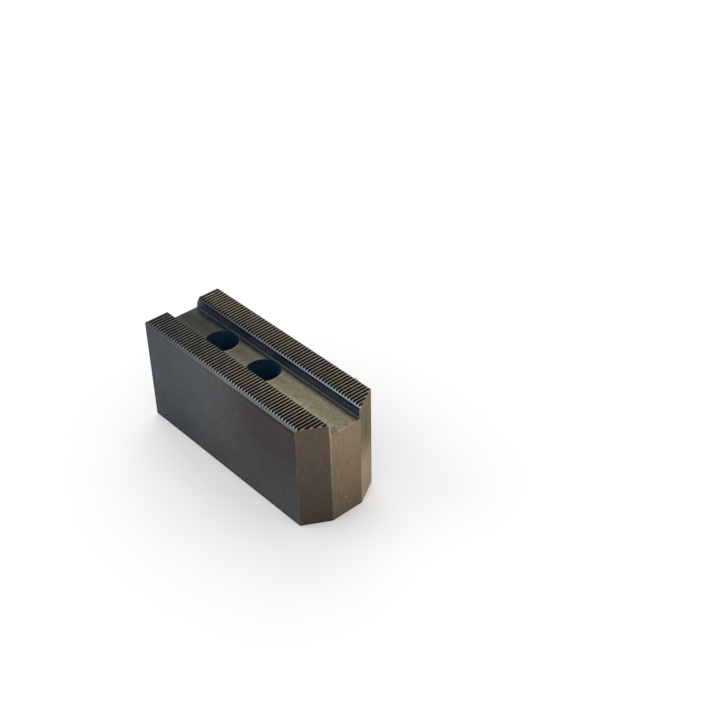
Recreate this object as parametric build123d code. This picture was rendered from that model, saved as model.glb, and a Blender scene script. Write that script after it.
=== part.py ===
from build123d import *

import os
from math import radians, sqrt, tan

# Machinable soft jaw for a three-jaw power chuck: one solid block of steel.
#
# The block lies with its serrated mounting face up. +X runs to the pointed nose, which
# faces the chuck centre, Y runs across the jaw, and Z = 0 is the clamping-side face that
# the block rests on. The origin is at the middle of that face's bounding box.

# Block
LENGTH = 95.0
WIDTH = 35.0
HEIGHT = 45.0

# Nose: a flat in the middle and one bevel on each side, 60 degrees off the long axis
NOSE_FLAT_WIDTH = 14.0
NOSE_ANGLE = 30.0

# Key slot down the middle of the mounting face
SLOT_WIDTH = 14.0
SLOT_DEPTH = 5.2
SLOT_FOOT_RADIUS = 0.5
SLOT_LIP_CHAMFER = 0.9

# Edge breaks
RAIL_EDGE_CHAMFER = 1.3
REAR_CORNER_CHAMFER = 0.6
BOTTOM_CHAMFER = 0.4

# Corner of the far rail where the slot opens at the rear, rounded off by hand
WORN_LENGTH = 4.8
WORN_WIDTH = 3.1
WORN_HEIGHT = 3.8
WORN_RADIUS = 8.0

# Serrations: 60 degree V cuts with flat crests and a narrow flat root
PITCH = 1.5
CREST_WIDTH = 0.3
SERRATION_DEPTH = 0.7
SERRATION_ANGLE = 60.0
FIRST_ROOT = 0.95

# Mounting screws: clearance holes with head counterbores from the clamping side
SCREW_HOLE_DIAMETER = 13.5
SCREW_SPACING = 25.0
FIRST_SCREW = 25.0
SCREW_COUNT = 2
HEAD_BORE_DIAMETER = 20.0
SEAT_THICKNESS = 14.0
HEAD_BORE_CHAMFER = 0.6

# Places worked out from the sizes above
REAR_X = -LENGTH / 2
NOSE_X = LENGTH / 2
HALF_WIDTH = WIDTH / 2
BEVEL_LENGTH = (HALF_WIDTH - NOSE_FLAT_WIDTH / 2) * tan(radians(NOSE_ANGLE))
SLOT_FLOOR_Z = HEIGHT - SLOT_DEPTH
SEAT_Z = SLOT_FLOOR_Z - SEAT_THICKNESS
SCREW_X = [REAR_X + FIRST_SCREW + SCREW_SPACING * step for step in range(SCREW_COUNT)]
FLANK_RUN = SERRATION_DEPTH * tan(radians(SERRATION_ANGLE / 2))
ROOT_WIDTH = PITCH - CREST_WIDTH - 2 * FLANK_RUN
V_COUNT = int((LENGTH - FIRST_ROOT) / PITCH) + 1


def blank():
    """Sawn and milled block with the two nose bevels."""
    plan = Polyline(
        (REAR_X, -HALF_WIDTH),
        (NOSE_X - BEVEL_LENGTH, -HALF_WIDTH),
        (NOSE_X, -NOSE_FLAT_WIDTH / 2),
        (NOSE_X, NOSE_FLAT_WIDTH / 2),
        (NOSE_X - BEVEL_LENGTH, HALF_WIDTH),
        (REAR_X, HALF_WIDTH),
        close=True,
    )
    return extrude(make_face(plan), HEIGHT)


def key_slot():
    """The slot's hollow: rounded feet at the floor and 45 degree lips at the top."""
    half = SLOT_WIDTH / 2
    lip = SLOT_LIP_CHAMFER
    section = Plane.YZ * Polyline(
        (-half, SLOT_FLOOR_Z),
        (half, SLOT_FLOOR_Z),
        (half, HEIGHT - lip),
        (half + lip, HEIGHT),
        (-half - lip, HEIGHT),
        (-half, HEIGHT - lip),
        close=True,
    )
    hollow = extrude(make_face(section), LENGTH / 2, both=True)
    feet = hollow.edges().filter_by(Axis.X).group_by(Axis.Z)[0]
    return fillet(feet, SLOT_FOOT_RADIUS)


def break_edges(block):
    """Chamfer the mounting face's long and rear edges, the rear corners and the bottom."""
    top = block.edges().group_by(Axis.Z)[-1]
    rear = top.filter_by(Axis.Y).group_by(Axis.X)[0]
    block = chamfer(top.filter_by(Axis.X) + rear, RAIL_EDGE_CHAMFER)
    rear_corners = block.edges().filter_by(Axis.Z).group_by(Axis.X)[0]
    block = chamfer(rear_corners, REAR_CORNER_CHAMFER)
    return chamfer(block.edges().group_by(Axis.Z)[0], BOTTOM_CHAMFER)


def worn_corner():
    """What is rounded off the far rail's corner, from its rear end, slot wall and top.

    A ball passes through one point on each of the corner's three edges, and the corner
    loses what lies outside the ball.
    """
    middle = Vector(WORN_LENGTH, WORN_WIDTH, -WORN_HEIGHT) * 0.5
    inward = Vector(1 / WORN_LENGTH, 1 / WORN_WIDTH, -1 / WORN_HEIGHT)
    depth = 1 / inward.length
    spare = WORN_RADIUS**2 - middle.length**2
    inset = (sqrt(depth**2 + 4 * spare) - depth) / 2
    ball = Pos(middle + inward.normalized() * inset) * Sphere(WORN_RADIUS)
    reach = Box(2 * WORN_LENGTH, 2 * WORN_WIDTH, 2 * WORN_HEIGHT)
    return Pos(REAR_X, SLOT_WIDTH / 2, HEIGHT) * (reach - ball)


def serration_cuts():
    """One V cut at each pitch, drawn in XZ and run across the whole width."""
    root_z = HEIGHT - SERRATION_DEPTH
    over = CREST_WIDTH / 2
    slope = FLANK_RUN / SERRATION_DEPTH
    mouth = ROOT_WIDTH / 2 + FLANK_RUN + over * slope
    section = make_face(
        Plane.XZ
        * Polyline(
            (-ROOT_WIDTH / 2, root_z),
            (ROOT_WIDTH / 2, root_z),
            (mouth, HEIGHT + over),
            (-mouth, HEIGHT + over),
            close=True,
        )
    )
    one = extrude(section, HALF_WIDTH, both=True)
    return [
        Pos(REAR_X + FIRST_ROOT + PITCH * step, 0, 0) * one
        for step in range(V_COUNT)
    ]


def screw_hole(place_x):
    """Through hole, head counterbore and its chamfered mouth."""
    through = Cylinder(
        SCREW_HOLE_DIAMETER / 2, HEIGHT, align=(Align.CENTER, Align.CENTER, Align.MIN)
    )
    head = Cylinder(
        HEAD_BORE_DIAMETER / 2, SEAT_Z, align=(Align.CENTER, Align.CENTER, Align.MIN)
    )
    mouth = Cone(
        HEAD_BORE_DIAMETER / 2 + HEAD_BORE_CHAMFER,
        HEAD_BORE_DIAMETER / 2,
        HEAD_BORE_CHAMFER,
        align=(Align.CENTER, Align.CENTER, Align.MIN),
    )
    return Pos(place_x, 0, 0) * (through + head + mouth)


def soft_jaw():
    """The finished jaw."""
    jaw = break_edges(blank())
    jaw -= key_slot()
    jaw -= worn_corner()
    jaw -= serration_cuts()
    for place_x in SCREW_X:
        jaw -= screw_hole(place_x)
    return jaw


os.makedirs("parts", exist_ok=True)
export_step(soft_jaw(), "parts/soft_jaw.step")
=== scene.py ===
"""A machinable soft jaw: dark milled steel on a pale floor, in soft daylight.

All sizes are in millimetres, as on the jaw's drawing, and become metres only where a
mesh, a lamp or the camera is made. +X runs to the nose, Z = 0 is the face it rests on.
"""
from math import pi, radians
from random import Random

import bmesh
import bpy
from mathutils import Matrix, Vector


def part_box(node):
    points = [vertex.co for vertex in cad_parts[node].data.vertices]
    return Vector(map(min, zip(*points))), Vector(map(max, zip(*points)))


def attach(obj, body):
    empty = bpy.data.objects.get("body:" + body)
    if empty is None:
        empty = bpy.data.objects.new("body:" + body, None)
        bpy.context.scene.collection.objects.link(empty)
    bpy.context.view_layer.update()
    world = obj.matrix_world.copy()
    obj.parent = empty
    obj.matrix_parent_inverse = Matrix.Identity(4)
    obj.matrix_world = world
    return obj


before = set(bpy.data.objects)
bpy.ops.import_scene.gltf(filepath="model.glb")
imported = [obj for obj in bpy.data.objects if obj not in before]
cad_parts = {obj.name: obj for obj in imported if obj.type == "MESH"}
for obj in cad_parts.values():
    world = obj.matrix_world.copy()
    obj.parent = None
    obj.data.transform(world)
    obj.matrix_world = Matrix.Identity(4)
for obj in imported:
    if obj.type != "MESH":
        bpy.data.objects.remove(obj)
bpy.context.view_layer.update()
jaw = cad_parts["soft_jaw"]

# The block's planes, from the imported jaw
MM = 0.001
LOW, HIGH = (Vector(corner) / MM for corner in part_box("soft_jaw"))
REAR_X = LOW.x
NOSE_X = HIGH.x
NEAR_Y = LOW.y
FAR_Y = HIGH.y
TOP_Z = HIGH.z

# The jaw's drawing sizes that the finishes follow
SLOT_WIDTH = 14.0
SLOT_DEPTH = 5.2
SLOT_LIP = 0.9
RAIL_CHAMFER = 1.3
NOSE_FLAT = 14.0
BEVEL_LENGTH = 6.06
CUT_DEPTH = 0.7
SCREW_X = (-22.5, 2.5)
SCREW_HOLE_RADIUS = 6.75
SLOT_FLOOR_Z = TOP_Z - SLOT_DEPTH
HALF_SLOT = SLOT_WIDTH / 2
BEVEL_X = NOSE_X - BEVEL_LENGTH

# Camera: where it stands, the point it is aimed at, its roll and its lens
CAMERA_PLACE = Vector((296.0, -216.5, 313.2))
CAMERA_AIM = Vector((2.34, 47.68, 20.0))
CAMERA_ROLL = radians(-0.79)
LENS = 62.19
SENSOR = 36.0

# Studio
FLOOR_SIZE = 6000.0
FLOOR_GAP = 0.02
FLOOR_PAINT = (0.93, 0.93, 0.93, 1.0)
WHITE = (1.0, 1.0, 1.0, 1.0)
FLOOR_GLOW = 0.2
ROOM_LIGHT = 0.72
WINDOW = {
    "strength": 0.55,
    "shade": (1.0, 0.96, 0.9),
    "azimuth": 228.0,
    "elevation": 38.0,
    "spread": 50.0,
}
SKYLIGHT = {
    "strength": 0.5,
    "shade": (0.84, 0.93, 1.0),
    "azimuth": 315.0,
    "elevation": 34.0,
    "spread": 40.0,
}

# Colours of the steel as screen levels, a few given for each face
PLAIN_SIDE = (80, 84, 86)
SIDE_REAR = (75, 82, 88)
SIDE_GREY = (85, 88, 90)
# The violet is painted shade high up on the near side towards the nose
SIDE_VIOLET = (68, 62, 64)
# The nose facets' tones paint each facet's light and shade onto one steel
BEVEL_BROWN = (84, 74, 64)
FRONT_TAN = (128, 112, 92)
FAR_PALE = (170, 150, 124)
FAR_BROWN = (118, 102, 76)
FLOOR_DULL = (48, 52, 50)
FLOOR_TAN = (120, 113, 95)
# The far slot wall's blue is a painted reflection of cool light
WALL_BLUE = (80, 95, 116)
# The crests' tones carry painted light; the valleys' is painted shade
CREST_DULL = (92, 93, 88)
CREST_TAN = (124, 118, 107)
FAR_CREST = (116, 113, 102)
VALLEY = (20, 17, 13)
CHAMFER = (75, 79, 79)
LIP = (122, 126, 126)
WORN_CORNER = (72, 73, 72)
# The screw holes' blue is a painted reflection of cool light
BORE = (65, 100, 135)
# Worn edges, with painted highlights on them
WEAR_AND_HIGHLIGHT = (175, 160, 130)
# Painted shade along the foot and the near side's rear edge
DARK_EDGE = (17, 19, 20)
# A smudge, and a patch of painted shade on the slot floor
SMUDGE_AND_SHADE = (58, 56, 48)
BURR = (138, 130, 114)

# Tints that multiply a colour: of the gloss at a grazing angle, and of the steel's patches
GRAZING_TINT = (0.55, 0.53, 0.5, 1.0)
COOL = (0.955, 1.0, 1.055)
WARM = (1.045, 0.99, 0.955)

# Blends between two places that are so narrow that they look sharp
SHARP = 0.1
SHARPER = 0.05

# How a face is turned: each mask changes between two values of one part of its normal
LEVEL = (0.85, 0.95)
NOT_UPRIGHT = (0.2, 0.4)
TOWARDS_NEAR = (-0.95, -0.9)
TOWARDS_NOSE = (0.6, 0.8)
FLOOR_UP = (0.3, 0.9)
WALL_SIDEWAYS = (0.4, 0.9)
TILTED = (0.6, 0.65)
FLANK_ENDWAYS = (0.8, 0.85)
FLANK_UP = (0.4, 0.45)
WORN_ROUND = (0.12, 0.2)
FOOT_FACE = (0.9, 0.95)
REAR_EDGE_ENDWAYS = (-0.5, -0.4)
REAR_EDGE_SIDEWAYS = (-0.65, -0.6)
NEAR_BEVEL_END = (-0.3, -0.2)
FAR_BEVEL_START = (0.2, 0.3)
EITHER_WALL = (-0.1, 0.1)

# How far the masks reach
TILTED_DEPTH = 1.5
LIP_REACH = 10.0
CHAMFER_START = 15.0
FLOOR_FOOT_RISE = (0.3, 0.6)
# The dark lines at the foot and the near side's rear edge are painted shade
DARK_FOOT = (0.65, 1.0)
DARK_FOOT_SHARE = 0.8
DARK_REAR = (0.95, 1.1)
DARK_REAR_WIDTH = 1.4
DARK_REAR_SHARE = 0.85
WORN_LENGTH = 5.0
WORN_REACH = 10.4
WORN_HEIGHT = 4.0
WORN_SHARP = 0.01
CUT_BOTTOM = (0.05, 0.02)
BORE_HALF_WIDTH = 11.0
BORE_HALF_LENGTH = 38.0
BORE_FOOT = (0.02, 0.04)
BLOT_SOFTNESS = (0.2, 1.0)
EDGE_CORE = 0.3

# Near side
SIDE_REAR_RUN = (-45.0, 0.0)
SIDE_VIOLET_RUN = (-8.0, 22.0)
SIDE_RISE = (2.0, 34.0)
# Painted shade towards the foot, and a painted shadow line under the rail's chamfer
SIDE_FOOT_SHADE = 0.18
SHADOW_LINE_DROP = 1.0
SHADOW_LINE_REACH = 0.9
SHADOW_LINE_SHADE = 0.15
SHADOW_LINE_NOSE_SHADE = 0.42
SHADOW_LINE_RUN = (10.0, 27.0)

# Nose
NOSE_FOOT_LEVEL = 0.75
NOSE_RISE = 0.5
FAR_BEVEL_SLANT = 0.6
FAR_BEVEL_RISE = (16.0, 32.0)

# Slot floor, as a level in its middle, painted light rising towards the walls and painted shade at
# their feet
FLOOR_RUN = (-45.0, 30.0)
FLOOR_REAR_RUN = (-44.0, -28.0)
FLOOR_MIDDLE_LEVEL = 0.82
FLOOR_RISE_SPAN = (1.0, 4.6)
FLOOR_RISE = 0.5
FLOOR_REAR_RISE = 0.25
FLOOR_EDGE_SHADE_SPAN = (4.6, 5.9)
FLOOR_EDGE_SHADE = 0.75
FLOOR_EDGE_SHADE_REAR_LOSS = 0.9

# Slot walls, with painted shade at the foot and under the lip
WALL_FOOT = (SLOT_FLOOR_Z - 0.3, SLOT_FLOOR_Z + 1.2)
WALL_UNDER_LIP = (TOP_Z - 2.6, TOP_Z - 1.6)
WALL_SHADE = 0.65
WALL_WORN_RUN = (-46.0, -39.0)
WALL_WORN_SHARE = 0.6

# Serrations: crests with painted light, valleys of painted shade
CREST_RUN = (-45.0, 25.0)
RAIL_MIDDLE = 12.0
RAIL_HALF_WIDTH = 4.0
RAIL_CHANGE = (-4.0, 4.0)
NEAR_CREST_FADE = 0.1
NEAR_CREST_NOSE_FADE = 0.15
NEAR_CREST_FADE_RUN = (-10.0, 20.0)
NEAR_CREST_END_SHADE = 0.35
NEAR_CREST_END_RUN = (30.0, 47.0)
FAR_EDGE_GAIN = 0.7
FAR_EDGE_SPAN = (15.7, 16.0)
FAR_EDGE_RUN = (12.0, 26.0)
FAR_CREST_GAIN = 0.17
FAR_REAR_GAIN = 0.15
FAR_REAR_RUN = (-45.0, 0.0)
VALLEY_NOSE_RUN = (25.0, 45.0)
CREST_DEPTH = (0.02, 0.22)

# The rails' chamfers and the slot's lips, with painted highlights and painted shade
TOOTH_END_GAIN = 1.6
TOOTH_END = (TOP_Z - 1.0, TOP_Z - 0.4)
CHAMFER_RIM_GAIN = 0.68
CHAMFER_RIM = (TOP_Z - 1.2, TOP_Z - 0.8)
CHAMFER_REAR_LEVEL = 0.45
CHAMFER_RUN = (-45.0, 5.0)
LIP_RIM = (TOP_Z - 0.8, TOP_Z - 0.4)
LIP_RIM_GAIN = 0.5
LIP_UPPER_SHADE = 0.25
LIP_RIM_RUN = (-20.0, 30.0)
LIP_REAR_LEVEL = 0.2
LIP_RUN = (-50.0, 40.0)

# Worn edges with painted highlights: how far from the edge each reaches, and how much of it shows
BEVEL_EDGE = 0.35
BEVEL_EDGE_SHARE = 0.08
FRONT_EDGE = 0.4
FRONT_EDGE_SHARE = 0.05
FRONT_EDGE_TOP_SHARE = 0.5
FRONT_EDGE_RISE = (6.0, 38.0)
NEAR_HALF = (-1.0, 1.0)
SILL = (0.08, 0.35)
SILL_SHARE = 0.55
MOUTH_EDGE = 0.6
MOUTH_RISE = 0.3
MOUTH_SHARE = 0.6
HOOK_REACH = 0.5
HOOK_RUN = (NOSE_X - 0.7, NOSE_X - 0.4)
HOOK_SHARE = 0.7
TIP_RISE = (TOP_Z - 1.0, TOP_Z - 0.45)
TIP_SHARE = 0.42
RING_WIDTH = 0.45
RING_SHARE = 0.12
RING_NOSE_SHARE = 0.5
RING_NOSE_RUN = (1.0, 6.0)

# Single marks: the middle of each, its reach along, across and up, and its strength
# The mark on the slot floor is a patch of painted shade
FLOOR_SHADE_PATCH = ((45.5, -4.6, SLOT_FLOOR_Z), (3.2, 2.6, 1.0), 0.6)
BEVEL_SMUDGE = ((44.5, 12.0, 31.0), (3.0, 2.2, 7.0), 0.3)
NOSE_FLECK = ((NOSE_X, -0.5, 7.8), (0.5, 0.35, 0.5), 0.8)
SIDE_SCRATCH = ((-36.9, NEAR_Y, 40.9), (1.1, 0.5, 0.45), 0.5)
SIDE_DENT = ((-39.4, NEAR_Y, 13.4), (1.1, 0.5, 0.9), 0.25)

# Face mill marks
MILL_RADIUS = 31.0
SLOT_MILL_RADIUS = 7.3
LEAST_SQUARE = 1.0
MILL_FEED = 1.1
FEED_SHARE = 0.2
STREAK_LENGTH = 7.0

# Unevenness of the steel: grains to the millimetre, and how much each shows
CLOUDS_PER_MM = 0.1
MOTTLES_PER_MM = 0.45
GRAINS_PER_MM = 2.2
GRITS_PER_MM = 1.3
STREAKS_PER_MM = 2.4
TINTS_PER_MM = 0.3
WEAR_PER_MM = 0.9
WEAR_STRETCH = (1.0, 0.3, 1.0)
TINT_STRETCH = (1.0, 1.0, 0.7)
NOISE_ROUGHNESS = 0.6
CLOUD_SHARE = 0.1
MOTTLE_SHARE = 0.1
GRAIN_SHARE = 0.17
STREAK_SHARE = 0.13
GRIT_SHARE = 0.1
FLOOR_GRIT_SHARE = 0.2
WEAR_SHARE = 0.25
BORE_CALM = 0.7
GRAIN_HEIGHT = 0.4
STREAK_HEIGHT = 0.6
BUMP_DISTANCE = 0.006
BUMP_STRENGTH = 0.15
STEEL_METALLIC = 0.8
STEEL_ROUGHNESS = 0.45
ROUGHNESS_SHARE = 0.03

# Burrs down the slot's nose edges
BURR_THICKNESS = 0.09
BURR_ROOT = -0.05
BURR_LEAST = 0.25
BURR_TAPER = 6.0
BURR_INSET = 0.1
NEAR_BURR = {"outward": Vector((0, 1, 0)), "reach": 0.8, "steps": 14, "seed": 3}
FAR_BURR = {"outward": Vector((0, -1, 0)), "reach": 0.5, "steps": 12, "seed": 5}
BURR_METALLIC = 0.7
BURR_ROUGHNESS = 0.45
BURR_GRAINS_PER_MM = 2.0
BURR_GRAIN_SHARE = 0.3

# Torn chip on the far rail's outer edge, from its base to its tip
HAIR_BASE_BEHIND = 4.6
HAIR_TIP_BEHIND = 8.2
HAIR_TIP_INSET = 0.25
HAIR_DEPTH = 0.4
HAIR_RADIUS = 0.17
HAIR_BOW = 0.15
HAIR_SEGMENTS = 6
HAIR_CUTS = 7


def screen(red, green, blue):
    """A colour from the 0 to 255 levels that it shows on a screen."""
    linear = []
    for level in (red, green, blue):
        share = level / 255.0
        if share <= 0.04045:
            linear.append(share / 12.92)
        else:
            linear.append(((share + 0.055) / 1.055) ** 2.4)
    return (*linear, 1.0)


class Value:
    """An output of a shader node. Sums, products and limits of it add their own nodes."""

    def __init__(self, sheet, socket):
        self.sheet = sheet
        self.socket = socket

    def __add__(self, other):
        return self.sheet.math("ADD", self, other)

    __radd__ = __add__

    def __sub__(self, other):
        return self.sheet.math("SUBTRACT", self, other)

    def __rsub__(self, other):
        return self.sheet.math("SUBTRACT", other, self)

    def __mul__(self, other):
        return self.sheet.math("MULTIPLY", self, other)

    __rmul__ = __mul__

    def __truediv__(self, other):
        return self.sheet.math("DIVIDE", self, other)

    def __pow__(self, power):
        return self.sheet.math("POWER", self, power)

    def __abs__(self):
        return self.sheet.math("ABSOLUTE", self)

    def root(self):
        return self.sheet.math("SQRT", self)

    def wave(self, length):
        """Between -1 and 1, once up and down in each length."""
        return self.sheet.math("SINE", self * (2 * pi / length))

    def over(self, low, high):
        """0 below low, 1 above high and smooth between them."""
        made = self.sheet.node(
            "ShaderNodeMapRange",
            {"interpolation_type": "SMOOTHSTEP"},
            {"Value": self, "From Min": low, "From Max": high},
        )
        return made["Result"]

    def under(self, low, high):
        """1 below low, 0 above high and smooth between them."""
        return 1.0 - self.over(low, high)

    def past(self, limit):
        """0 up to the limit and 1 from just beyond it."""
        return self.over(limit, limit + SHARP)

    def within(self, limit):
        """1 up to the limit and 0 from just beyond it."""
        return self.under(limit, limit + SHARP)

    def near(self, middle, reach):
        """1 at the middle, falling smoothly to 0 at the reach on both sides of it."""
        return abs(self - middle).under(0.0, reach)


class Sheet:
    """The node tree of a material or of the world."""

    def __init__(self, tree):
        self.tree = tree
        tree.nodes.clear()

    def node(self, kind, settings=None, sockets=None):
        """Adds a node, its settings first and then its sockets, and returns its outputs."""
        made = self.tree.nodes.new(kind)
        for name, value in (settings or {}).items():
            setattr(made, name, value)
        for name, value in (sockets or {}).items():
            if isinstance(name, int):
                socket = made.inputs[name]
            else:
                socket = next(s for s in made.inputs if s.name == name and s.enabled)
            if isinstance(value, Value):
                self.tree.links.new(value.socket, socket)
            else:
                socket.default_value = value
        return {out.name: Value(self, out) for out in made.outputs if out.enabled}

    def math(self, operation, *values):
        made = self.node(
            "ShaderNodeMath", {"operation": operation}, dict(enumerate(values))
        )
        return made["Value"]

    def mix(self, share, first, second):
        """The first colour where share is 0 and the second where it is 1."""
        made = self.node(
            "ShaderNodeMix",
            {"data_type": "RGBA"},
            {"Factor": share, "A": first, "B": second},
        )
        return made["Result"]

    def scaled(self, vector, amount):
        """A colour or a place times one value."""
        made = self.node(
            "ShaderNodeVectorMath",
            {"operation": "SCALE"},
            {"Vector": vector, "Scale": amount},
        )
        return made["Vector"]

    def shaded(self, levels, amount):
        """A plain colour, given as screen levels, times one value."""
        return self.scaled(screen(*levels)[:3], amount)

    def tinted(self, colour, tint):
        """A colour with its red, green and blue each times its own number."""
        made = self.node(
            "ShaderNodeVectorMath", {"operation": "MULTIPLY"}, {0: colour, 1: tint}
        )
        return made["Vector"]

    def split(self, vector):
        made = self.node("ShaderNodeSeparateXYZ", {}, {"Vector": vector})
        return made["X"], made["Y"], made["Z"]

    def place(self):
        """Where a point of the piece is, in millimetres."""
        return self.scaled(self.node("ShaderNodeTexCoord")["Object"], 1.0 / MM)

    def noise(self, place, per_mm, detail=2.0, stretch=(1.0, 1.0, 1.0)):
        """Cloudy noise between about -1 and 1, with so many grains to the millimetre."""
        moved = self.node("ShaderNodeMapping", {}, {"Vector": place, "Scale": stretch})
        made = self.node(
            "ShaderNodeTexNoise",
            {},
            {
                "Vector": moved["Vector"],
                "Scale": per_mm,
                "Detail": detail,
                "Roughness": NOISE_ROUGHNESS,
            },
        )
        return next(iter(made.values())) * 4.0 - 2.0

    def surface(self, shader):
        """Makes a shader what the material shows."""
        self.node("ShaderNodeOutputMaterial", {}, {"Surface": shader})


def new_sheet(name):
    """A new material and its cleared node tree."""
    made = bpy.data.materials.new(name)
    made.use_nodes = True
    return made, Sheet(made.node_tree)


class JawSurface:
    """Where a point of the jaw is, which way its face looks, and the face's own mask."""

    def __init__(self, sheet):
        self.sheet = sheet
        self.place = sheet.place()
        self.along, self.across, self.up = sheet.split(self.place)
        facing = sheet.node("ShaderNodeNewGeometry")["True Normal"]
        self.facing_x, self.facing_y, self.facing_z = sheet.split(facing)
        self.off_centre = abs(self.across)
        self.level = self.facing_z.over(*LEVEL)
        self.upright = 1.0 - abs(self.facing_z).over(*NOT_UPRIGHT)
        self.in_slot = self.off_centre.under(HALF_SLOT + SHARPER, HALF_SLOT + SHARP)

    def near_side(self):
        return self.facing_y.under(*TOWARDS_NEAR) * self.across.within(NEAR_Y + SHARP)

    def nose(self):
        """All three upright facets of the nose."""
        return self.along.past(BEVEL_X - SHARP) * self.upright * self.facing_x.over(*TOWARDS_NOSE)

    def slot_floor(self):
        low, high = FLOOR_FOOT_RISE
        floor = self.up.under(SLOT_FLOOR_Z + low, SLOT_FLOOR_Z + high)
        return floor * self.in_slot * self.facing_z.over(*FLOOR_UP)

    def slot_wall(self):
        above = self.up.over(SLOT_FLOOR_Z - SHARPER, SLOT_FLOOR_Z)
        return above * self.in_slot * abs(self.facing_y).over(*WALL_SIDEWAYS)

    def tilted_edge(self):
        """The 45 degree edges along both rails, at the slot and at the sides."""
        tilt = abs(self.facing_y).over(*TILTED) * self.facing_z.over(*TILTED)
        return tilt * self.up.past(TOP_Z - TILTED_DEPTH)

    def lip(self):
        return self.tilted_edge() * self.off_centre.within(LIP_REACH)

    def chamfer(self):
        return self.tilted_edge() * self.off_centre.past(CHAMFER_START)

    def dark_edge(self):
        """Painted shade: a thin dark line round the foot, and down the near side's rear edge."""
        not_below = abs(self.facing_z).under(*FOOT_FACE)
        foot = self.up.under(*DARK_FOOT) * not_below * DARK_FOOT_SHARE
        start, end = DARK_REAR
        rear = self.along.under(REAR_X + start, REAR_X + end)
        rear = rear * self.facing_x.over(*REAR_EDGE_ENDWAYS)
        near = self.across.within(NEAR_Y + DARK_REAR_WIDTH)
        near = self.facing_y.under(*REAR_EDGE_SIDEWAYS) * near
        return self.sheet.math("MAXIMUM", foot, rear * near * DARK_REAR_SHARE)

    def worn_corner(self):
        """The rounded corner at the far rail's rear end."""
        rear = self.along.within(REAR_X + WORN_LENGTH)
        inner = self.across.over(HALF_SLOT - WORN_SHARP, HALF_SLOT)
        inner = inner * self.across.within(WORN_REACH)
        high = self.up.past(TOP_Z - WORN_HEIGHT)
        rounded = abs(self.facing_x).over(*WORN_ROUND) * abs(self.facing_y).over(*WORN_ROUND)
        return rear * inner * high * rounded

    def serrated(self):
        """Crests, flanks and roots of the serrations."""
        low, high = CUT_BOTTOM
        teeth = self.up.over(TOP_Z - CUT_DEPTH - low, TOP_Z - CUT_DEPTH - high)
        flank = abs(self.facing_x).over(*FLANK_ENDWAYS) * self.facing_z.over(*FLANK_UP)
        return (flank + self.level) * teeth

    def bore(self):
        """The walls and seats inside the two screw holes."""
        inside = self.off_centre.within(BORE_HALF_WIDTH) * abs(self.along).within(BORE_HALF_LENGTH)
        below_slot = self.up.under(SLOT_FLOOR_Z - SHARP, SLOT_FLOOR_Z - SHARPER)
        return inside * below_slot * self.up.over(*BORE_FOOT)

    def blot(self, middle, reach, strength):
        """A soft round patch about a point, with its reach along, across and up."""
        total = 0.0
        for place, centre, size in zip((self.along, self.across, self.up), middle, reach):
            total = ((place - centre) / size) ** 2.0 + total
        return total.under(*BLOT_SOFTNESS) * strength

    def edge_at(self, along, off_centre, reach):
        """A thin line down both upright edges at a place of the jaw's outline."""
        gap = (self.along - along) ** 2.0 + (self.off_centre - off_centre) ** 2.0
        return gap.root().under(EDGE_CORE * reach, reach)

    def ring(self, centre):
        """A thin ring round a screw hole, where the burr was taken off its mouth, with a painted
        highlight that grows towards the nose.
        """
        gap = ((self.along - centre) ** 2.0 + self.across**2.0).root()
        start, end = RING_NOSE_RUN
        towards_nose = self.along.over(centre + start, centre + end)
        line = gap.near(SCREW_HOLE_RADIUS, RING_WIDTH)
        return line * (RING_SHARE + RING_NOSE_SHARE * towards_nose)

    def mill_run(self):
        """How far a point lies across the arcs of the mill marks, and how far along them."""
        lying = abs(self.facing_z)
        sweep = self.across * self.facing_x - self.along * self.facing_y + self.along * lying
        from_middle = (self.up - TOP_Z / 2) * (1.0 - lying) + self.across * lying
        square = MILL_RADIUS**2 - (MILL_RADIUS**2 - SLOT_MILL_RADIUS**2) * self.slot_floor()
        square = square - from_middle * from_middle
        arc = self.sheet.math("MAXIMUM", square, LEAST_SQUARE).root()
        return sweep - arc, from_middle

    def mill_streaks(self):
        """Short uneven streaks along the arcs of the mill marks, and the mill's own feed."""
        across, along = self.mill_run()
        stretched = self.sheet.node(
            "ShaderNodeCombineXYZ",
            {},
            {"X": across, "Y": along / STREAK_LENGTH, "Z": self.facing_x},
        )
        streaks = self.sheet.noise(stretched["Vector"], STREAKS_PER_MM)
        return streaks + FEED_SHARE * across.wave(MILL_FEED)


def near_side_tone(face):
    """Cool grey, duller at the rear, with painted shade at the foot and violet painted shade
    high up towards the nose.

    A painted shadow line runs below the rail's chamfer, and darkens towards the nose.
    """
    sheet = face.sheet
    high = face.up.over(*SIDE_RISE)
    tone = sheet.mix(face.along.over(*SIDE_REAR_RUN), screen(*SIDE_REAR), screen(*SIDE_GREY))
    tone = sheet.mix(high * face.along.over(*SIDE_VIOLET_RUN), tone, screen(*SIDE_VIOLET))
    foot_shade = SIDE_FOOT_SHADE * (1.0 - high)
    shadow_line = face.up.near(TOP_Z - RAIL_CHAMFER - SHADOW_LINE_DROP, SHADOW_LINE_REACH)
    shadow_line = shadow_line * (SHADOW_LINE_SHADE + SHADOW_LINE_NOSE_SHADE * face.along.over(*SHADOW_LINE_RUN))
    return sheet.scaled(tone, (1.0 - foot_shade) * (1.0 - shadow_line))


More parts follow.
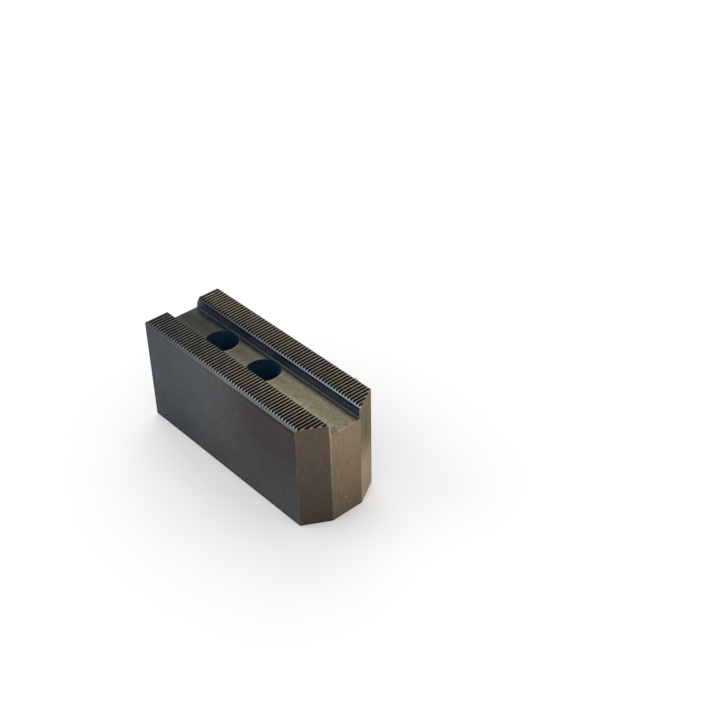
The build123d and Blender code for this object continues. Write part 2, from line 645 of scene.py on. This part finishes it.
def nose_tone(face):
    """Painted shade, dark brown, on the near bevel and painted light, tan, in front, both with
    painted light towards the top.

    The far bevel runs the other way, from pale below, in painted light, to brown above.
    """
    sheet = face.sheet
    front = face.facing_y.over(*NEAR_BEVEL_END)
    tone = sheet.mix(front, screen(*BEVEL_BROWN), screen(*FRONT_TAN))
    tone = sheet.scaled(tone, NOSE_FOOT_LEVEL + NOSE_RISE * face.up.over(0.0, TOP_Z))
    slanted = face.up + (face.across - HALF_SLOT) * FAR_BEVEL_SLANT
    far = sheet.mix(slanted.over(*FAR_BEVEL_RISE), screen(*FAR_PALE), screen(*FAR_BROWN))
    return sheet.mix(face.facing_y.over(*FAR_BEVEL_START), tone, far)


def slot_floor_tone(face):
    """Dull at the rear and tan towards the nose, with painted light rising towards the walls
    and painted shade along the foot of each wall.
    """
    sheet = face.sheet
    tone = sheet.mix(face.along.over(*FLOOR_RUN), screen(*FLOOR_DULL), screen(*FLOOR_TAN))
    rear = face.along.under(*FLOOR_REAR_RUN)
    edge_shade = face.off_centre.over(*FLOOR_EDGE_SHADE_SPAN) * (FLOOR_EDGE_SHADE - FLOOR_EDGE_SHADE_REAR_LOSS * rear)
    rise = face.off_centre.over(*FLOOR_RISE_SPAN) * (FLOOR_RISE + FLOOR_REAR_RISE * rear)
    return sheet.scaled(tone, FLOOR_MIDDLE_LEVEL + rise - edge_shade)


def slot_wall_tone(face):
    """The far wall is blue grey, a painted reflection of cool light, with painted shade at its
    foot and under the lip. The near is plain.
    """
    sheet = face.sheet
    foot = face.up.under(*WALL_FOOT)
    under_lip = face.up.over(*WALL_UNDER_LIP)
    far = sheet.shaded(WALL_BLUE, 1.0 - WALL_SHADE * foot - WALL_SHADE * under_lip)
    worn = face.along.under(*WALL_WORN_RUN) * WALL_WORN_SHARE
    far = sheet.mix(worn, far, screen(*WORN_CORNER))
    return sheet.mix(face.facing_y.over(*EITHER_WALL), far, screen(*PLAIN_SIDE))


def near_crest_tone(face, outwards):
    """The near rail's crests: painted light towards the nose, painted shade outwards and at its
    end.
    """
    sheet = face.sheet
    tone = sheet.mix(face.along.over(*CREST_RUN), screen(*CREST_DULL), screen(*CREST_TAN))
    more = NEAR_CREST_NOSE_FADE * face.along.over(*NEAR_CREST_FADE_RUN)
    fade = outwards * (NEAR_CREST_FADE + more)
    end = NEAR_CREST_END_SHADE * face.along.over(*NEAR_CREST_END_RUN)
    return sheet.scaled(tone, 1.0 - fade - end)


def far_crest_tone(face, outwards):
    """The far rail's crests: painted light outwards and at the rear, with a painted highlight on
    the rubbed outer edge.
    """
    edge = FAR_EDGE_GAIN * face.across.over(*FAR_EDGE_SPAN) * face.along.over(*FAR_EDGE_RUN)
    rear = FAR_REAR_GAIN * face.along.under(*FAR_REAR_RUN)
    return face.sheet.shaded(FAR_CREST, 1.0 + FAR_CREST_GAIN * outwards + edge + rear)


def serration_tone(face):
    """Bright rubbed crests with painted highlights over dark brown valleys of painted shade,
    which lighten a little at the nose.
    """
    sheet = face.sheet
    outwards = (face.off_centre - RAIL_MIDDLE) / RAIL_HALF_WIDTH
    near = near_crest_tone(face, outwards)
    far = far_crest_tone(face, outwards)
    crest = sheet.mix(face.across.over(*RAIL_CHANGE), near, far)
    wear = sheet.noise(face.place, WEAR_PER_MM, 1.0, WEAR_STRETCH)
    crest = sheet.scaled(crest, 1.0 + WEAR_SHARE * wear)
    valley = sheet.shaded(VALLEY, 1.0 + face.along.over(*VALLEY_NOSE_RUN))
    depth = TOP_Z - face.up
    return sheet.mix(depth.over(*CREST_DEPTH), crest, valley)


def chamfer_tone(face):
    """The rails' outer edges, with painted highlights on the tooth ends and along the lower rim.
    """
    tooth_end = TOOTH_END_GAIN * face.up.over(*TOOTH_END)
    rim = CHAMFER_RIM_GAIN * face.up.under(*CHAMFER_RIM)
    rise = (1.0 - CHAMFER_REAR_LEVEL) * face.along.over(*CHAMFER_RUN)
    return face.sheet.shaded(CHAMFER, (CHAMFER_REAR_LEVEL + rise) * (1.0 + tooth_end + rim))


def lip_tone(face):
    """The slot's upper edges, with painted light towards the nose and a painted highlight along
    their foot.
    """
    rim = LIP_RIM_GAIN * face.up.under(*LIP_RIM) - LIP_UPPER_SHADE
    rim = rim * face.along.over(*LIP_RIM_RUN)
    rise = (1.0 - LIP_REAR_LEVEL) * face.along.over(*LIP_RUN)
    return face.sheet.shaded(LIP, (LIP_REAR_LEVEL + rise) * (1.0 + rim))


def nose_edges(face):
    """The nose's upright edges, and the slot's, worn and given painted highlights."""
    bevel = face.edge_at(BEVEL_X, -NEAR_Y, BEVEL_EDGE) * BEVEL_EDGE_SHARE
    near_half = face.across.under(*NEAR_HALF)
    more = near_half * face.up.over(*FRONT_EDGE_RISE) * FRONT_EDGE_TOP_SHARE
    front = face.edge_at(NOSE_X, NOSE_FLAT / 2, FRONT_EDGE) * (FRONT_EDGE_SHARE + more)
    above_floor = face.up.over(SLOT_FLOOR_Z, SLOT_FLOOR_Z + MOUTH_RISE)
    mouth = face.edge_at(NOSE_X, HALF_SLOT, MOUTH_EDGE) * above_floor * MOUTH_SHARE
    return (bevel + front + mouth) * face.upright


def sill(face):
    """A painted highlight on the edge where the slot floor ends at the nose."""
    gap = (face.along - NOSE_X) ** 2.0 + (face.up - SLOT_FLOOR_Z) ** 2.0
    return gap.root().under(*SILL) * face.in_slot * SILL_SHARE


def lip_ends(face):
    """A painted highlight, a bright hook at the nose end of each lip's foot."""
    lip_foot = face.off_centre - HALF_SLOT - face.up + TOP_Z - SLOT_LIP
    hook = lip_foot.near(0.0, HOOK_REACH) * face.along.over(*HOOK_RUN) * HOOK_SHARE
    return hook * face.up.past(TOP_Z - SLOT_LIP)


def worn_and_highlit_edges(face):
    """Worn edges and painted highlights: nose edges, sill, lip ends, tooth tips and hole rings."""
    tips = face.nose() * face.up.over(*TIP_RISE) * TIP_SHARE
    rings = face.slot_floor() * sum(face.ring(centre) for centre in SCREW_X)
    return nose_edges(face) + sill(face) + lip_ends(face) + tips + rings


def face_tones(face):
    """The colour of every face, with its painted light and shade, before its marks and its
    unevenness.
    """
    sheet = face.sheet
    tone = sheet.mix(face.near_side(), screen(*PLAIN_SIDE), near_side_tone(face))
    tone = sheet.mix(face.nose(), tone, nose_tone(face))
    tone = sheet.mix(face.slot_floor(), tone, slot_floor_tone(face))
    tone = sheet.mix(face.slot_wall(), tone, slot_wall_tone(face))
    tone = sheet.mix(face.serrated(), tone, serration_tone(face))
    tone = sheet.mix(face.chamfer(), tone, chamfer_tone(face))
    tone = sheet.mix(face.lip(), tone, lip_tone(face))
    tone = sheet.mix(face.worn_corner(), tone, screen(*WORN_CORNER))
    tone = sheet.mix(face.dark_edge(), tone, screen(*DARK_EDGE))
    tone = sheet.mix(face.bore(), tone, screen(*BORE))
    return sheet.mix(worn_and_highlit_edges(face), tone, screen(*WEAR_AND_HIGHLIGHT))


def marked_tones(face, tone):
    """The single marks: a smudge, a patch of painted shade, a bright fleck, a scratch and a dent.
    """
    sheet = face.sheet
    smudge_and_shade = face.blot(*FLOOR_SHADE_PATCH) + face.blot(*BEVEL_SMUDGE) * face.nose()
    tone = sheet.mix(smudge_and_shade, tone, screen(*SMUDGE_AND_SHADE))
    tone = sheet.mix(face.blot(*NOSE_FLECK), tone, screen(*WEAR_AND_HIGHLIGHT))
    return sheet.scaled(tone, 1.0 + face.blot(*SIDE_SCRATCH) - face.blot(*SIDE_DENT))


def uneven_tones(face, tone, cloud, grain, streaks):
    """Clouds, mottling, grain, grit and mill streaks, and patches cooler and warmer."""
    sheet = face.sheet
    mottle = sheet.noise(face.place, MOTTLES_PER_MM, 3.0)
    grit = sheet.noise(face.place, GRITS_PER_MM, 1.0)
    grit = grit * (GRIT_SHARE + FLOOR_GRIT_SHARE * face.slot_floor())
    fine = MOTTLE_SHARE * mottle + GRAIN_SHARE * grain + STREAK_SHARE * streaks + grit
    marked = 1.0 - BORE_CALM * face.bore()
    tone = sheet.scaled(tone, 1.0 + fine * marked + CLOUD_SHARE * cloud)
    tint = sheet.noise(face.place, TINTS_PER_MM, 2.0, TINT_STRETCH)
    return sheet.mix(0.5 + 0.5 * tint, sheet.tinted(tone, COOL), sheet.tinted(tone, WARM))


def jaw_steel():
    """Milled steel, with the tones, marks, wear and painted light and shade of each of the jaw's
    faces.
    """
    made, sheet = new_sheet("milled_steel")
    face = JawSurface(sheet)
    cloud = sheet.noise(face.place, CLOUDS_PER_MM)
    grain = sheet.noise(face.place, GRAINS_PER_MM)
    streaks = face.mill_streaks()
    tone = marked_tones(face, face_tones(face))
    bump = sheet.node(
        "ShaderNodeBump",
        {},
        {
            "Strength": BUMP_STRENGTH,
            "Distance": BUMP_DISTANCE * MM,
            "Height": grain * GRAIN_HEIGHT + streaks * STREAK_HEIGHT,
        },
    )
    skin = sheet.node(
        "ShaderNodeBsdfPrincipled",
        {},
        {
            "Base Color": uneven_tones(face, tone, cloud, grain, streaks),
            "Metallic": STEEL_METALLIC,
            "Roughness": STEEL_ROUGHNESS + ROUGHNESS_SHARE * grain + ROUGHNESS_SHARE * cloud,
            "Specular Tint": GRAZING_TINT,
            "Normal": bump["Normal"],
        },
    )
    sheet.surface(skin["BSDF"])
    return made


def seen_rays(sheet):
    """1 for what the camera sees, directly, in a gloss or through glass, and else 0."""
    rays = sheet.node("ShaderNodeLightPath")
    seen = sheet.math("MAXIMUM", rays["Is Camera Ray"], rays["Is Glossy Ray"])
    return sheet.math("MAXIMUM", seen, rays["Is Transmission Ray"])


def floor_paint():
    """Pale matt paint that is seen a little whiter than it is lit."""
    made, sheet = new_sheet("floor_paint")
    paint = sheet.node("ShaderNodeBsdfDiffuse", {}, {"Color": FLOOR_PAINT})
    glow = sheet.node("ShaderNodeEmission", {}, {"Strength": FLOOR_GLOW * seen_rays(sheet)})
    skin = sheet.node("ShaderNodeAddShader", {}, {0: paint["BSDF"], 1: glow["Emission"]})
    sheet.surface(skin["Shader"])
    return made


def mesh_piece(name, shape, material):
    """An object from a bmesh drawn in millimetres."""
    bmesh.ops.scale(shape, vec=(MM, MM, MM), verts=shape.verts)
    mesh = bpy.data.meshes.new(name)
    shape.to_mesh(mesh)
    shape.free()
    mesh.materials.append(material)
    made = bpy.data.objects.new(name, mesh)
    bpy.context.scene.collection.objects.link(made)
    return made


def burr_steel():
    """Bright torn metal of the burrs."""
    made, sheet = new_sheet("burr_steel")
    spread = 1.0 + BURR_GRAIN_SHARE * sheet.noise(sheet.place(), BURR_GRAINS_PER_MM)
    skin = sheet.node(
        "ShaderNodeBsdfPrincipled",
        {},
        {
            "Base Color": sheet.shaded(BURR, spread),
            "Metallic": BURR_METALLIC,
            "Roughness": BURR_ROUGHNESS,
        },
    )
    sheet.surface(skin["BSDF"])
    return made


def burr(name, shape, material):
    """A burr becomes part of the jaw."""
    piece = mesh_piece(name, shape, material)
    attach(piece, "root")


def ragged_sliver(start, end, outward, reach, steps, seed):
    """A thin torn fin along an edge. Its free side stands out by up to the reach."""
    draw = Random(seed)
    shape = bmesh.new()
    bmesh.ops.create_grid(shape, x_segments=steps, y_segments=1, size=0.5)
    for point in sorted(shape.verts, key=lambda vert: (vert.co.y, vert.co.x)):
        share = point.co.x + 0.5
        out = reach * draw.uniform(BURR_LEAST, 1.0) if point.co.y > 0.0 else BURR_ROOT
        fade = min(1.0, BURR_TAPER * share, BURR_TAPER * (1.0 - share))
        point.co = start.lerp(end, share) + outward * (out * fade)
    bmesh.ops.recalc_face_normals(shape, faces=shape.faces)
    bmesh.ops.solidify(shape, geom=shape.faces[:], thickness=BURR_THICKNESS)
    bmesh.ops.recalc_face_normals(shape, faces=shape.faces)
    return shape


def torn_hair(base, tip):
    """A fine curled chip, thick at its base, bowed sideways along Y."""
    shape = bmesh.new()
    run = tip - base
    bmesh.ops.create_cone(
        shape,
        cap_ends=True,
        segments=HAIR_SEGMENTS,
        radius1=HAIR_RADIUS,
        radius2=HAIR_RADIUS / 3,
        depth=run.length,
    )
    sides = []
    for edge in shape.edges:
        low, high = edge.verts
        if abs(low.co.z - high.co.z) > HAIR_RADIUS:
            sides.append(edge)
    bmesh.ops.subdivide_edges(shape, edges=sides, cuts=HAIR_CUTS, use_grid_fill=True)
    for point in shape.verts:
        share = 2.0 * point.co.z / run.length
        point.co.y += HAIR_BOW * (1.0 - share * share)
    turn = run.to_track_quat("Z", "Y").to_matrix().to_4x4()
    middle = Matrix.Translation((base + tip) / 2)
    bmesh.ops.transform(shape, matrix=middle @ turn, verts=shape.verts)
    return shape


def nose_burr(name, across, settings, material):
    """A torn fin down one of the slot's two edges at the nose."""
    top = Vector((NOSE_X - BURR_INSET, across, TOP_Z - SLOT_LIP))
    foot = Vector((NOSE_X - BURR_INSET, across, SLOT_FLOOR_Z + BURR_INSET))
    burr(name, ragged_sliver(top, foot, **settings), material)


def burrs():
    """What the cutters left standing on the nose edges and at the far rail's outer edge."""
    steel = burr_steel()
    nose_burr("near_nose_burr", -HALF_SLOT, NEAR_BURR, steel)
    nose_burr("far_nose_burr", HALF_SLOT, FAR_BURR, steel)
    height = TOP_Z - HAIR_DEPTH
    base = Vector((BEVEL_X - HAIR_BASE_BEHIND, FAR_Y - RAIL_CHAMFER, height))
    tip = Vector((BEVEL_X - HAIR_TIP_BEHIND, FAR_Y - HAIR_TIP_INSET, height))
    burr("torn_hair", torn_hair(base, tip), steel)


def floor():
    """A wide pale floor, just below the jaw."""
    shape = bmesh.new()
    bmesh.ops.create_grid(shape, x_segments=1, y_segments=1, size=FLOOR_SIZE / 2)
    bmesh.ops.translate(shape, vec=(0, 0, -FLOOR_GAP), verts=shape.verts)
    mesh_piece("floor", shape, floor_paint())


def room():
    """Plain white all round, a little dimmer as light than as it is seen."""
    made = bpy.data.worlds.new("room")
    bpy.context.scene.world = made
    made.use_nodes = True
    sheet = Sheet(made.node_tree)
    strength = ROOM_LIGHT + (1.0 - ROOM_LIGHT) * seen_rays(sheet)
    light = sheet.node("ShaderNodeBackground", {}, {"Color": WHITE, "Strength": strength})
    sheet.node("ShaderNodeOutputWorld", {}, {"Surface": light["Background"]})


def soft_light(name, strength, shade, azimuth, elevation, spread):
    """A broad light from far off. Azimuth 0 is at -Y and 90 at +X."""
    lamp = bpy.data.lights.new(name, "SUN")
    lamp.energy = strength
    lamp.color = shade
    lamp.angle = radians(spread)
    made = bpy.data.objects.new(name, lamp)
    made.rotation_euler = (radians(90.0 - elevation), 0.0, radians(azimuth))
    bpy.context.scene.collection.objects.link(made)


def camera():
    """The photograph's viewpoint."""
    lens = bpy.data.cameras.new("camera")
    lens.lens = LENS
    lens.sensor_width = SENSOR
    made = bpy.data.objects.new("camera", lens)
    made.location = CAMERA_PLACE * MM
    level = (CAMERA_AIM - CAMERA_PLACE).to_track_quat("-Z", "Y").to_matrix()
    made.rotation_euler = (level @ Matrix.Rotation(CAMERA_ROLL, 3, "Z")).to_euler()
    bpy.context.scene.collection.objects.link(made)
    bpy.context.scene.camera = made


jaw.data.materials.clear()
jaw.data.materials.append(jaw_steel())
burrs()
floor()
room()
soft_light("window", **WINDOW)
soft_light("skylight", **SKYLIGHT)
camera()

bpy.context.scene.view_settings.view_transform = "Standard"
